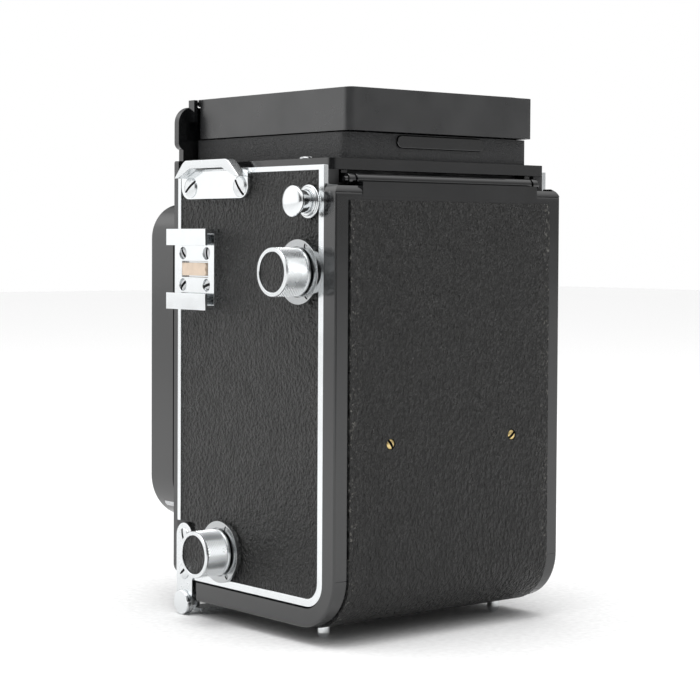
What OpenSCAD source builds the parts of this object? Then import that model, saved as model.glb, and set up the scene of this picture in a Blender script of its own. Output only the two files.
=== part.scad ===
// Twin lens reflex camera for 120 roll film, as an assembly of separate pieces.
// Frame: +X photographer's left, -Y lens side, +Z up, origin at the tripod socket mouth. Millimetres.

/* [Body] */
// Half of the width over the side trim frames
half_w = 38; // [34:0.5:42]
// Rear face of the back leather
back_y = 35; // [30:0.5:42]
// Front face of the casting
front_y = -35.5; // [-42:0.5:-30]
// Height of the bottom of the trim frames
rim_z0 = 6.2; // [4:0.1:9]
// Height of the top of the trim frames
rim_z1 = 115.7; // [100:0.5:130]
// Height of the deck's upper face
deck_z = 117.4; // [102:0.5:132]
// Thickness of the casting's side walls
wall_t = 3.2; // [2:0.1:4]
// Depth of the leather on the sides
leather_t = 1.2; // [0.4:0.1:1.3]

/* [Film path] */
// Position of the upper spool axis, front to back
up_y = 20.8; // [18:0.1:22]
// Height of the upper spool axis
up_z = 89.3; // [86:0.1:92]
// Position of the lower spool axis, front to back
lo_y = -12.3; // [-14:0.1:-10]
// Height of the lower spool axis
lo_z = 15.6; // [15:0.1:18]
// Radius of the spool's end discs
spool_r = 12.4; // [10:0.1:12.6]
// Half of the spool's length
spool_h = 32.8; // [31:0.1:33]
// Height of the taking lens axis and of the film gate
take_z = 46.6; // [44:0.1:49]
// Height of the viewing lens axis
view_z = 89.2; // [86:0.1:92]
// Half width of the film gate
gate_h = 27.5; // [26:0.1:28.5]

/* [Back door] */
// Thickness of the door's sheet
door_t = 0.95; // [0.7:0.05:1.2]
// Thickness of the door's leather
skin_t = 0.55; // [0.3:0.05:0.8]
// Outer radius of the rounded bottom rear edge
door_r = 14; // [10:0.5:18]
// Position of the door hinge, front to back
hinge_y = 31; // [30:0.1:32]
// Height of the door hinge
hinge_z = 112.2; // [111:0.1:113]
// Radius of the door hinge pin
hinge_r = 0.8; // [0.5:0.05:1]
// Front end of the door's bottom
door_front = -24; // [-26:0.5:-20]

/* [Knobs] */
// Radius of the knurled spool knobs
knob_r = 6.1; // [5:0.1:7]
// Outer end of the spool knobs
knob_x1 = 47.5; // [44:0.5:50]
// Radius of the leather discs in the knobs
inlay_r = 5.07; // [4:0.01:5.5]
// Radius of the flanges round the knobs
flange_r = 8.1; // [7:0.1:9]
// Radius of the spool pins
pin_r = 2; // [1.5:0.1:2.2]
// Radius of the focusing knob
focus_r = 16; // [12:0.5:18]
// Radius of the winding knob
wind_r = 7.5; // [6:0.5:9]

/* [Lens standard] */
// Half width of the lens standard
std_hw = 35; // [32:0.5:36]
// Rear face of the lens standard when closed up
std_y1 = -40.2; // [-42:0.1:-39.5]
// Front face of the lens standard
std_y0 = -50.7; // [-54:0.1:-48]
// Lower end of the lens standard
std_z0 = 19.7; // [17:0.1:22]
// Upper end of the lens standard
std_z1 = 107; // [106.5:0.1:110]
// Radius of the guide rods
rod_r = 1.6; // [1.2:0.1:1.8]

/* [Hood] */
// Half width of the hood lid
lid_hw = 31.7; // [30:0.1:32.5]
// Rear face of the hood lid
lid_y1 = 31.3; // [30.5:0.1:32.5]
// Lower edge of the lid's skirt
lid_z0 = 124.3; // [123:0.1:126]
// Top face of the lid
lid_z1 = 134.9; // [134.5:0.1:138]
// Length of the folding leaves
leaf_h = 27; // [20:0.5:27.5]

/* [Shoe and mounts] */
// Gap between the lips of the accessory shoe
shoe_gap = 12.6; // [12:0.1:13]
// Width of the slot under the lips
shoe_slot = 18.7; // [18.5:0.1:19]
// Radius of the tripod thread
tripod_r = 3.175; // [3:0.005:5]
// Length of the tripod thread
tripod_l = 5; // [4.5:0.1:6]

/* [Fits] */
// Radial clearance of a running fit
fit = 0.05; // [0.02:0.01:0.1]
// Free gap between moving bodies
gap = 0.35; // [0.3:0.01:0.5]

/* [View] */
// Node to show on its own, or all

/* [Hidden] */
$fn = 64;
e = 0.01;
rim_y0 = -33.5;
rim_y1 = back_y - 5.6;
cast_x = half_w - 1.4;
in_x = cast_x - wall_t;
leather_x = cast_x + leather_t;
plate_y = front_y - 2;
door_x1 = half_w + 0.4;
door_x0 = door_x1 - 1.8;
skin_y = back_y - skin_t;
sheet_y = skin_y - door_t;
door_z0 = 0.3;
sheet_z = door_z0 + skin_t;
sheet_z1 = sheet_z + door_t;
door_top = 111.4;
lip_x = door_x0 - gap;
lid_ax_y = -33.9;
lid_ax_z = lid_z1 - 1;
lid_pin_r = 0.55;
lid_pin_x = lid_hw - 1.2;
lid_ear_x = lid_hw + gap;
lid_ear_t = 1.2;
lid_ear_z0 = lid_ax_z - 5;
plate_z1 = 133;
plate_neck_z = deck_z + 4;
hood_x = lid_hw - 0.3;
hood_y1 = lid_y1 - 1.9;
latch_y = -29.4;
pin_head_r = 3.3;
rest_z = -pin_head_r;
leaf_z = deck_z + 7.8;
leaf_x = hood_x - 2.9;
leaf_y = hood_y1 - 3;
btn_y = 23.6;
btn_z = 106.7;
shoe_z = 89.4;
shoe_y0 = -32.8;
shoe_y1 = -14.7;
shoe_base = half_w + 1.5;
shoe_top = shoe_base + 2.05;
skin_hw = half_w - 4;
btn_stem_r = 2.8;
lug_head_r = 2.7;
flange_angles = [-26, 92, 210];
wind_x1 = half_w + 4;
bail_z0 = 115.85;
bail_z1 = 118.05;
bail_y0 = -24.8;
bail_y1 = -6.7;
bail_x0 = half_w + 0.9;
bail_foot_z = 113.4;
bail_x1 = half_w + 3.8;
plate_screw_x = 20.8;
foot_x = 29.4;
foot_y = 19.35;
lug_screw_y = [-26.2, -4.1];
lug_screw_z = 110.9;
focus_y = -8;
focus_z = 62;
roller_y = 28.4;
roller_z0 = 14.2;
roller_z1 = 76.4;
shoe_screw_y = [-29, -18.2];
shoe_screw_z = [-4.2, 4.2];
rod_x = 31;
rod_z = [25, 101];
knuckle_x = 29.8;

black = [0.03, 0.03, 0.035];
silver = [0.8, 0.8, 0.82];
hide = [0.06, 0.06, 0.06];

// profile drawn in (y, z), solid from x0 to x1
module ax(x0, x1) {
  translate([x0, 0, 0]) rotate([90, 0, 90]) linear_extrude(x1 - x0) children();
}
// profile drawn in (x, z), solid from y0 to y1
module ay(y0, y1) {
  translate([0, y1, 0]) rotate([90, 0, 0]) linear_extrude(y1 - y0) children();
}
// profile drawn in (x, y), solid from z0 to z1
module az(z0, z1) {
  translate([0, 0, z0]) linear_extrude(z1 - z0) children();
}
// rectangle between two corners
module rc(a, b, c, d) {
  translate([a, b]) square([c - a, d - b]);
}
// rounded rectangle between two corners
module rr(a, b, c, d, r) {
  rc(a + r, b, c - r, d);
  rc(a, b + r, c, d - r);
  for (u = [a + r, c - r]) {
    for (v = [b + r, d - r]) {
      translate([u, v]) circle(r);
    }
  }
}
// rounded rectangle with one radius for the upper corners and one for the lower
module rr2(a, b, c, d, rb, rt) {
  rc(a + rb, b, c - rb, b + rb);
  rc(a + rt, d - rt, c - rt, d);
  rc(a, b + rb, c, d - rt);
  for (u = [a + rb, c - rb]) {
    translate([u, b + rb]) circle(rb);
  }
  for (u = [a + rt, c - rt]) {
    translate([u, d - rt]) circle(rt);
  }
}
// cylinder along X
module cx(x0, x1, y, z, r) {
  translate([x0, y, z]) rotate([0, 90, 0]) cylinder(h = x1 - x0, r = r);
}
// cylinder along Y
module cy(y0, y1, x, z, r) {
  translate([x, y1, z]) rotate([90, 0, 0]) cylinder(h = y1 - y0, r = r);
}
// cylinder along Z
module cz(z0, z1, x, y, r) {
  translate([x, y, z0]) cylinder(h = z1 - z0, r = r);
}
module both() {
  children();
  mirror([1, 0, 0]) children();
}
// slotted screw head on the +X side, seat at x, head radius r
module sx(x, y, z, r, h, a) {
  difference() {
    union() {
      cx(x, x + h, y, z, r);
      cx(x - 1, x + e, y, z, r * 0.5);
    }
    translate([x + h, y, z]) rotate([a, 0, 0]) cube([0.7, 3 * r, 0.5], center = true);
  }
}
// outline of the door seen from the side
module door_side(inset) {
  b = door_z0 + inset;
  k = back_y - inset;
  r = door_r - inset;
  difference() {
    union() {
      rc(door_front, b, k - r, door_top);
      rc(k - r - e, b + r, k, door_top);
      translate([k - r, b + r]) circle(r);
    }
  }
}

module body_casting() {
  color(black) difference() {
    union() {
      // side walls, thinner where the door laps over them
      both() {
        ax(in_x, cast_x) rc(front_y, rim_z0, rim_y1, 114.6);
        ax(in_x, lip_x) rc(front_y + 10.5, sheet_z1 + 1.2, rim_y1 - 12, rim_z0 + e);
        ax(in_x, lip_x) rc(rim_y1 - e, sheet_z1 + 14, sheet_y - 1.5, 109.6);
        
        ax(in_x, 34.6) rc(front_y, 2, front_y + 10.6, rim_z0 + e);
      }
      // front wall and fixed front of the bottom
      ay(front_y, front_y + 3) rc(-cast_x, 3.4, cast_x, 114.6);
      ax(-34.6, 34.6) rc(front_y, 2, -24.4, 3.6);
      // film gate
      ay(28.8, 31) rc(-in_x - e, 17.4, in_x + e, 74.1);
      // wall over the lower spool
      ax(-in_x - e, in_x + e) polygon([[front_y + 2, 28.8], [-2, 28.8], [29, 17.6], [29, 19], [-1.6, 30],
        [front_y + 2, 30]]);
      // wall under the upper spool
      ax(-in_x - e, in_x + e) polygon([[-15, 74.6], [25.4, 74.6], [25.4, 73.6], [30, 73.6], [30, 74.1],
        [25.9, 74.1], [25.9, 75.6], [-15, 75.6]]);
      // sloped wall behind the mirror
      ax(-in_x - e, in_x + e) polygon([[-33, 65.4], [-23.6, 65.4], [20.5, 109.5], [20.5, 111.3],
        [-24.2, 66.6], [-33, 66.6]]);
      // rear top bar under the deck
      ax(-in_x - e, in_x + e) rc(16.6, 109.6, 29.2, 111.4);
      // stud for the far end of the lower spool
      cx(-in_x - e, -29.2, lo_y, lo_z, pin_r);
      // roller journals
      both() for (p = [[28.4, 76.4], [28.4, 14.2]]) {
        cx(in_x - 1.5, in_x + e, p[0], p[1], 0.9);
      }
    }
    ay(28, 32) rc(-gate_h, 19.6, gate_h, 73.6);
    cy(front_y - 1, -27.6, 0, take_z, 18 + gap);
    cy(front_y - 1, -27.6, 0, view_z, 15 + gap);
    for (s = [-rod_x, rod_x]) {
      for (z = rod_z) {
        cy(front_y - 1, front_y + 4, s, z, rod_r + fit);
      }
    }
    // spool pin, shaft and button bores
    cx(20, 50, up_y, up_z, pin_r + fit);
    cx(20, 50, lo_y, lo_z, pin_r + fit);
    cx(20, 50, btn_y, btn_z, btn_stem_r + fit);
    cx(-50, -20, up_y, up_z, 2.5 + fit);
    cx(-50, -20, focus_y, focus_z, 2.5 + fit);
    // clear of the latch ears
    both() ax(34.6, 40) rc(-33.4, -5, -24.4, 3.4);
  }
}

module front_plate() {
  color(black) {
    both() {
      ax(lid_ear_x, lid_ear_x + lid_ear_t) rc(front_y - e, lid_ear_z0, lid_ax_y + 1, lid_ax_z + 0.9);
      cx(lid_pin_x, lid_ear_x + lid_ear_t, lid_ax_y, lid_ax_z, lid_pin_r);
    }
  }
  color(black) difference() {
    union() {
      ay(plate_y, front_y) rr2(-36.5, rim_z0, 36.5, deck_z + 1, 3, 0.5);
      ay(plate_y, front_y) rc(-35, deck_z, 35, plate_neck_z + 2);
      ay(plate_y, front_y) rr2(-36.5, plate_neck_z, 36.5, plate_z1, 2, 4.5);
    }
    cy(plate_y - 1, front_y + 1, 0, take_z, 18 + gap);
    cy(plate_y - 1, front_y + 1, 0, view_z, 15 + gap);
    for (s = [-rod_x, rod_x]) {
      for (z = rod_z) {
        cy(plate_y - 1, front_y + 1, s, z, rod_r + fit);
      }
    }
  }
}

module top_plate() {
  color(black) difference() {
    az(114.6, deck_z) rr(-cast_x, front_y, cast_x, 30.6, 2);
    az(114, deck_z + 1) rc(-27.5, -30.5, 27.5, 24.5);
    both() cz(110, deck_z + 1, 34.2, 17.3, 0.75);
  }
}

module trim_profile() {
  difference() {
    union() {
      rc(rim_y0, rim_z0, rim_y1 - 6.5, rim_z1);
      rc(rim_y1 - 6.6, rim_z0 + 6.5, rim_y1, rim_z1);
      translate([rim_y1 - 6.5, rim_z0 + 6.5]) circle(6.5);
    }
    trim_window();
  }
}
// inside of the trim frame, filled by the leather
module trim_window() {
  rc(rim_y0 + 1.4, rim_z0 + 2, rim_y1 - 6.6, rim_z1 - 1.3);
  rc(rim_y0 + 1.4, rim_z0 + 6.5, rim_y1 - 2.1, rim_z1 - 1.3);
  translate([rim_y1 - 6.6, rim_z0 + 6.5]) circle(4.5);
}
module side_trim_frames() {
  color(silver) both() difference() {
    ax(cast_x, half_w) difference() {
      trim_profile();
      rc(rim_y0 - 1, rim_z0 - 1, -25.6, 21.6);
    }
    ax(leather_x, half_w + 1) rc(-31, 107.6, -0.4, 116);
  }
}

module side_leatherettes() {
  color(hide) {
    difference() {
      leather_skin();
      cx(cast_x - 1, half_w + 1, up_y, up_z, knob_r);
      cx(cast_x - 1, half_w + 1, lo_y, lo_z, knob_r);
      cx(cast_x - 1, half_w + 1, btn_y, btn_z, 3.5);
      ax(cast_x - 1, half_w + 1) rc(-32.3, shoe_z - 10.65, shoe_y1, shoe_z + 10.65);
      for (p = lug_screw_y) {
        cx(cast_x - 1, half_w + 1, p, lug_screw_z, 1.2);
      }
    }
    mirror([1, 0, 0]) difference() {
      leather_skin();
      cx(cast_x - 1, half_w + 1, up_y, up_z, 6.3);
      cx(cast_x - 1, half_w + 1, focus_y, focus_z, focus_r);
      for (p = lug_screw_y) {
        cx(cast_x - 1, half_w + 1, p, lug_screw_z, 1.2);
      }
    }
  }
}
module leather_skin() {
  difference() {
    ax(cast_x, leather_x) trim_window();
    ax(cast_x - 1, leather_x + 1) rc(rim_y0, rim_z0, -25.6, 21.6);
  }
}

module knob_flanges() {
  color(silver) {
    for (p = [[up_y, up_z], [lo_y, lo_z]]) {
      difference() {
        union() {
          cx(half_w, half_w + 1.46, p[0], p[1], flange_r);
          cx(cast_x, half_w, p[0], p[1], knob_r);
        }
        cx(cast_x - 1, half_w + 2, p[0], p[1], pin_r + fit);
        translate([half_w + 0.96, p[0], p[1]]) rotate([0, 90, 0]) cylinder(h = 1, r = knob_r + 0.2);
        for (a = flange_angles) {
          translate([0, p[0], p[1]]) rotate([a, 0, 0]) cx(half_w - 1, half_w + 2, 0, 7.1, 0.5);
        }
      }
    }
    difference() {
      cx(-half_w - 0.6, -cast_x, up_y, up_z, 6.3);
      cx(-half_w - 2, -cast_x + 1, up_y, up_z, 2.5 + fit);
    }
    difference() {
      cx(-half_w - 0.6, -cast_x, focus_y, focus_z, focus_r);
      cx(-half_w - 2, -cast_x + 1, focus_y, focus_z, 2.5 + fit);
    }
  }
}

module flange_screws() {
  color(silver) for (p = [[up_y, up_z], [lo_y, lo_z]]) {
    for (a = flange_angles) {
      translate([0, p[0], p[1]]) rotate([a, 0, 0]) difference() {
        union() {
          cx(half_w + 1.46, half_w + 1.76, 0, 7.1, 0.85);
          cx(half_w, half_w + 1.5, 0, 7.1, 0.5);
        }
        translate([half_w + 1.76, 0, 7.1]) cube([0.3, 3, 0.3], center = true);
      }
    }
  }
}

module button_flange() {
  color(silver) difference() {
    union() {
      cx(cast_x, half_w, btn_y, btn_z, 3.5);
      cx(half_w, half_w + 0.5, btn_y, btn_z, 4.2);
      cx(half_w + 0.4, half_w + 1.2, btn_y, btn_z, 3.6);
    }
    cx(cast_x - 1, half_w + 2, btn_y, btn_z, btn_stem_r + fit);
  }
}

module strap_lug_plates() {
  color(silver) both() difference() {
    ax(leather_x, half_w + 0.9) rr2(-30.6, 107.9, -0.8, 115.2, 3.4, 1.2);
    for (p = lug_screw_y) {
      cx(half_w - 3, half_w + 3, p, lug_screw_z, 0.9);
    }
  }
}

module strap_bails() {
  color(silver) both() {
    // flat outer bar, and an arm at each end down to the plate
    ax(bail_x1 - 1.4, bail_x1) rc(bail_y0, bail_z0, bail_y1, bail_z1);
    ax(bail_x0, bail_x1) polygon([[bail_y0, bail_z0], [bail_y0 + 1.9, bail_z0], [-28.4, bail_foot_z],
      [-30, bail_foot_z], [bail_y0 - 1.2, bail_z1 - 0.6], [bail_y0, bail_z1]]);
    ax(bail_x0, bail_x1) polygon([[bail_y1, bail_z0], [bail_y1 - 1.9, bail_z0], [-2.6, bail_foot_z],
      [-1, bail_foot_z], [bail_y1 + 1.2, bail_z1 - 0.6], [bail_y1, bail_z1]]);
  }
}

module strap_lug_screws() {
  color(silver) both() for (p = lug_screw_y) {
    difference() {
      union() {
        cx(half_w + 0.9, half_w + 1.6, p, lug_screw_z, lug_head_r);
        cx(cast_x, half_w + 1, p, lug_screw_z, 0.9);
      }
      translate([half_w + 1.6, p, lug_screw_z]) rotate([55, 0, 0]) cube([0.7, 6, 0.55], center = true);
    }
  }
}

module accessory_shoe() {
  color(silver) difference() {
    union() {
      ax(half_w, shoe_base) rc(shoe_y0, shoe_z - 10.65, shoe_y1, shoe_z + 10.65);
      ax(cast_x, half_w) rc(-32, shoe_z - 10.65, shoe_y1, shoe_z + 10.65);
      for (s = [-1, 1]) {
        ax(shoe_base - e, shoe_top + 0.75) rc(shoe_y0, shoe_z + s * (shoe_slot + 1.3) / 2 - 0.65,
          shoe_y1, shoe_z + s * (shoe_slot + 1.3) / 2 + 0.65);
        ax(shoe_top, shoe_top + 0.75) rc(shoe_y0, shoe_z + s * (shoe_gap + shoe_slot) / 4 + s * 0.3
          - (shoe_slot - shoe_gap) / 4 - 0.3, shoe_y1,
          shoe_z + s * (shoe_gap + shoe_slot) / 4 + s * 0.3 + (shoe_slot - shoe_gap) / 4 + 0.3);
      }
    }
    // window for the leaf
    ax(half_w + 0.3, shoe_base + 1) rc(-29.4, shoe_z - 2.1, -17.4, shoe_z + 2.1);
    for (u = shoe_screw_y) {
      for (v = shoe_screw_z) {
        cx(half_w + 0.7, shoe_base + 1, u, shoe_z + v, 1.65);
        cx(cast_x - 1, shoe_base, u, shoe_z + v, 0.8);
      }
    }
  }
}

module shoe_spring() {
  color([0.8, 0.72, 0.5]) ax(half_w + 0.3, shoe_base + 0.25) polygon([[-29, shoe_z - 1.7],
    [-18.6, shoe_z - 1.7], [-18, shoe_z - 0.9], [-18.6, shoe_z], [-18, shoe_z + 0.9], [-18.6, shoe_z + 1.7],
    [-29, shoe_z + 1.7]]);
}

module shoe_screws() {
  color(silver) for (u = shoe_screw_y) {
    for (v = shoe_screw_z) {
      difference() {
        union() {
          cx(half_w + 0.7, shoe_base - 0.05, u, shoe_z + v, 1.6);
          cx(cast_x, half_w + 1, u, shoe_z + v, 0.8);
        }
        translate([shoe_base, u, shoe_z + v]) rotate([40, 0, 0]) cube([0.6, 4, 0.4], center = true);
      }
    }
  }
}

module latch_brackets() {
  color(silver) both() difference() {
    ax(cast_x, half_w + 0.5) {
      rc(-33.1, rim_z0, -25.8, 18);
      translate([-29.45, 17.6]) circle(3.65);
    }
    cx(30, 50, -29.45, 17.8, 0.8);
    cx(30, 50, -29.45, 8.2, 0.8);
  }
  color(silver) both() difference() {
    ax(half_w - 0.6, half_w + 0.5) {
      rc(-33.1, 0.4, -25.8, rim_z0 + e);
      translate([-29.45, 0]) circle(3.2);
    }
    cx(30, 50, latch_y, 0, 1.2);
  }
}

module bracket_screws() {
  color(silver) both() for (z = [17.8, 8.2]) {
    difference() {
      union() {
        cx(half_w + 0.5, half_w + 1.1, -29.45, z, 2.1);
        cx(cast_x, half_w + 0.6, -29.45, z, 0.8);
      }
      translate([half_w + 1.1, -29.45, z]) rotate([48, 0, 0]) cube([0.7, 5, 0.5], center = true);
    }
  }
}

module latch_pins() {
  color(silver) both() {
    cx(34.9, half_w + 0.6, latch_y, 0, 1.2);
    cx(half_w + 0.5, half_w + 1.8, latch_y, 0, pin_head_r);
  }
}

module door_hinge_pin() {
  color(silver) cx(-33.2, 33.2, hinge_y, hinge_z, hinge_r);
  color(silver) both() ax(30.4, 32.4) difference() {
    union() {
      translate([hinge_y, hinge_z]) circle(1.5);
      rc(26, hinge_z - 0.8, hinge_y, hinge_z + 1.5);
      rc(26, hinge_z - 0.8, 29, 114.6);
    }
    translate([hinge_y, hinge_z]) circle(hinge_r);
  }
}

module reflex_mirror() {
  color([0.85, 0.88, 0.9]) ax(-27, 27) polygon([[-23.8, 67], [-24.5, 67.7], [15.3, 107.5], [16, 106.8]]);
}

module focusing_screen() {
  color([0.85, 0.9, 0.9, 0.4]) az(112.4, 114) rc(-28.5, -31.5, 28.5, 25.5);
}

module screen_frame() {
  color(black) difference() {
    az(111.6, 114.6) rc(-30, -32.3, 30, 26);
    az(112.4, 115) rc(-28.5, -31.5, 28.5, 25.5);
    az(111, 115) rc(-27, -30, 27, 24);
    az(111, 112.4) rc(-27, -30, 27, 15);
  }
}

module hood_base() {
  color(black) difference() {
    union() {
      az(deck_z, deck_z + 6.6) rr(-hood_x, front_y + 0.1, hood_x, hood_y1, 2.5);
      // ears and pins of the folding leaves
      both() {
        for (y = [-31.6, 23.4]) {
          translate([leaf_x - 1.1, y, deck_z + 4]) cube([2.6, 1, leaf_z - deck_z - 2.9]);
        }
        cy(-31, 24, leaf_x, leaf_z, 0.55);
      }
      for (x = [-24, 23]) {
        translate([x, leaf_y - 1.1, deck_z + 4]) cube([1, 2.6, leaf_z - deck_z - 2.9]);
      }
      cx(-23.6, 23.6, leaf_y, leaf_z, 0.55);
    }
    difference() {
      az(deck_z - 1, deck_z + 7) rr(-hood_x + 1.5, front_y + 1.6, hood_x - 1.5, hood_y1 - 1.5, 1);
      both() {
        translate([leaf_x - 1.1, -31.6, deck_z - 2]) cube([3, 1, 15]);
        translate([leaf_x - 1.1, 23.4, deck_z - 2]) cube([3, 1, 15]);
      }
      for (x = [-24, 23]) {
        translate([x, leaf_y - 1.1, deck_z - 2]) cube([1, 3, 15]);
      }
    }
    // opening for the latch bar
    ay(hood_y1 - 3, hood_y1 + 1) rr(-14.9, deck_z + 3, 14.9, deck_z + 6.3, 1.64);
  }
}

module deck_screws() {
  color(silver) both() {
    difference() {
      union() {
        translate([34.2, 17.3, deck_z]) intersection() {
          translate([0, 0, -1.2]) sphere(2);
          translate([-3, -3, 0]) cube([6, 6, 3]);
        }
        cz(114.6, deck_z + 0.1, 34.2, 17.3, 0.75);
      }
      translate([34.2, 17.3, deck_z + 0.9]) cube([3, 0.35, 0.5], center = true);
    }
  }
}

module back_cover() {
  color(black) difference() {
    union() {
      difference() {
        ax(-door_x1, door_x1) door_side(skin_t);
        ax(-door_x0, door_x0) door_side(skin_t + door_t);
        ax(-40, 40) rc(door_front + 4, rim_z0 - gap, rim_y1 + gap, 130);
        ax(-40, 40) rc(door_front - 1, rim_z0 - gap, rim_y1 - 5, 130);
        // the flange follows the rounded corner of the trim
        both() ax(door_x0 - 0.2, 40) translate([rim_y1 - 6.5, rim_z0 + 6.5]) circle(6.5 + gap);
        ax(-30, 30) rc(20, door_top - 0.2, 30, 120);
      }
      // hinge knuckle
      difference() {
        union() {
          cx(-knuckle_x, knuckle_x, hinge_y, hinge_z, 1.5);
          ax(-knuckle_x, knuckle_x) rc(hinge_y, hinge_z - 1.5, skin_y, hinge_z - 0.6);
          ax(-knuckle_x, knuckle_x) rc(sheet_y, 108, skin_y, hinge_z - 0.6);
        }
      }
    }
    cx(-40, 40, hinge_y, hinge_z, hinge_r + fit);
    both() ax(knuckle_x, 32.8) rc(29, 110, 33.2, 115);
    cz(-1, 4, 0, 0, 6);
    for (x = [-plate_screw_x, plate_screw_x]) {
      cy(28, 40, x, take_z, 0.8);
    }
    both() cz(-4, 4, foot_x, foot_y, 1);
  }
}

module back_leatherette() {
  color(hide) difference() {
    ax(-skin_hw, skin_hw) difference() {
      door_side(0);
      door_side(skin_t);
      rc(-40, -5, door_front + 0.6, 120);
      rc(0, 107.1, 60, 130);
      rc(-40, 20, 20, 130);
    }
    cz(-1, 4, 0, 0, 6);
    for (x = [-plate_screw_x, plate_screw_x]) {
      cy(28, 40, x, take_z, 1.4);
    }
    both() cz(-4, 4, foot_x, foot_y, 1.75);
  }
}

module pressure_plate() {
  color(black) difference() {
    union() {
      ay(31.35, 32.2) rr(-29.5, 15.5, 29.5, 75.5, 2);
      for (x = [-plate_screw_x, plate_screw_x]) {
        ay(32.2 - e, sheet_y) translate([x, take_z]) circle(3);
      }
    }
    for (x = [-plate_screw_x, plate_screw_x]) {
      cy(32.4, 36, x, take_z, 0.8);
    }
  }
}

module back_screws() {
  color([0.75, 0.6, 0.3]) for (x = [-plate_screw_x, plate_screw_x]) {
    difference() {
      union() {
        cy(skin_y, back_y + 0.15, x, take_z, 1.35);
        cy(32.4, skin_y + 0.1, x, take_z, 0.8);
      }
      translate([x, back_y + 0.15, take_z]) rotate([0, 35, 0]) cube([4, 0.5, 0.4], center = true);
    }
  }
}

module rear_feet() {
  color(silver) both() {
    cz(rest_z + 1.7, sheet_z, foot_x, foot_y, 1.7);
    cz(sheet_z, sheet_z1 + 0.4, foot_x, foot_y, 1);
    translate([foot_x, foot_y, rest_z + 1.7]) sphere(1.7);
  }
}

module tripod_socket() {
  color(silver) difference() {
    union() {
      cz(0, sheet_z1, 0, 0, 6);
      cz(sheet_z1, sheet_z1 + 0.8, 0, 0, 8.5);
      cz(sheet_z1, tripod_l + 0.9, 0, 0, 5);
    }
    cz(-1, tripod_l, 0, 0, tripod_r);
  }
}

module latch_bail() {
  color(silver) {
    difference() {
      both() ax(35.1, 36.1) {
        translate([latch_y, 0]) circle(2.5);
        rc(latch_y, -2.5, -24.6, -1.55);
        rc(latch_y, -2.5, latch_y + 1.6, 0);
      }
      cx(-50, 50, latch_y, 0, 1.2 + fit);
    }
    ax(-36, 36) rc(-30.7, -2.5, -24.6, -1.55);
  }
}

// pin, knob and inlay of one spool knob
module spool_pin(y, z) {
  color(silver) {
    cx(28.6, knob_x1 - 1.4, y, z, pin_r);
    cx(knob_x1 - 1.45, knob_x1 - 0.9, y, z, pin_r + 1.2);
  }
}
module spool_knob(y, z) {
  color(silver) difference() {
    cx(half_w + 1.85, knob_x1, y, z, knob_r);
    cx(half_w, knob_x1 - 1.45 - 0.0, y, z, pin_r + fit);
    cx(knob_x1 - 1.6, knob_x1 + 1, y, z, inlay_r);
  }
  color(silver) difference() {
    cx(knob_x1 - 1.6, knob_x1 - 0.5, y, z, inlay_r + e);
    cx(knob_x1 - 1.7, knob_x1 - 0.8, y, z, pin_r + 1.3);
  }
}
module spool_inlay(y, z) {
  color(hide) cx(knob_x1 - 0.5, knob_x1, y, z, inlay_r);
}
module upper_spool_pin() {
  spool_pin(up_y, up_z);
}
module upper_knob() {
  spool_knob(up_y, up_z);
}
module upper_knob_inlay() {
  spool_inlay(up_y, up_z);
}
module lower_spool_pin() {
  spool_pin(lo_y, lo_z);
}
module lower_knob() {
  spool_knob(lo_y, lo_z);
}
module lower_knob_inlay() {
  spool_inlay(lo_y, lo_z);
}

module mushroom_button() {
  color(silver) {
    cx(34, 42.4, btn_y, btn_z, btn_stem_r);
    cx(42.3, 44.2, btn_y, btn_z, 3.9);
  }
}

// spool with end discs, core and end holes
module spool(y, z) {
  difference() {
    union() {
      cx(-spool_h, spool_h, y, z, 5);
      cx(-spool_h, -spool_h + 1.2, y, z, spool_r);
      cx(spool_h - 1.2, spool_h, y, z, spool_r);
    }
    cx(-40, -spool_h + 8, y, z, pin_r + gap);
    cx(spool_h - 8, 40, y, z, pin_r + gap);
  }
}
module take_up_spool() {
  color(black) spool(up_y, up_z);
}
module supply_spool() {
  color(black) spool(lo_y, lo_z);
}
module film_roller(z) {
  color(silver) difference() {
    cx(-in_x + 0.4, in_x - 0.4, roller_y, z, 1.95);
    both() cx(in_x - 3, in_x + 1, roller_y, z, 0.9 + fit);
  }
}
module upper_film_roller() {
  film_roller(roller_z1);
}
module lower_film_roller() {
  film_roller(roller_z0);
}

module wind_knob() {
  color(silver) {
    cx(-wind_x1, -half_w - 0.95, up_y, up_z, wind_r);
    cx(-half_w - 1, -in_x - 0.4, up_y, up_z, 2.5);
    cx(-in_x - 0.5, -spool_h + 4, up_y, up_z, pin_r);
  }
}

module focus_knob() {
  color(silver) {
    cx(-half_w - 8.5, -half_w - 0.95, focus_y, focus_z, focus_r);
    cx(-half_w - 1, -in_x + 0.5, focus_y, focus_z, 2.5);
  }
}

module lens_standard() {
  color(black) difference() {
    ay(std_y0, std_y1) rr2(-std_hw, std_z0, std_hw, std_z1, 12.5, 9.5);
    ay(std_y0 + 1.5, std_y1 - 1.2) difference() {
      rr2(-std_hw + 1.5, std_z0 + 1.5, std_hw - 1.5, std_z1 - 1.5, 11, 8);
      for (s = [-rod_x, rod_x]) {
        for (z = rod_z) {
          translate([s, z]) circle(3);
        }
      }
    }
    cy(std_y0 - 1, std_y1 + 1, 0, take_z, 17);
    cy(std_y0 - 1, std_y1 + 1, 0, view_z, 14);
    for (s = [-rod_x, rod_x]) {
      for (z = rod_z) {
        cy(std_y0 + 3, std_y1 + 1, s, z, rod_r);
      }
    }
  }
}

module standard_rods() {
  color(silver) for (s = [-rod_x, rod_x]) {
    cy(std_y0 + 3, -26.4, s, 25, rod_r);
    cy(std_y0 + 3, -16, s, 101, rod_r);
  }
}

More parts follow.
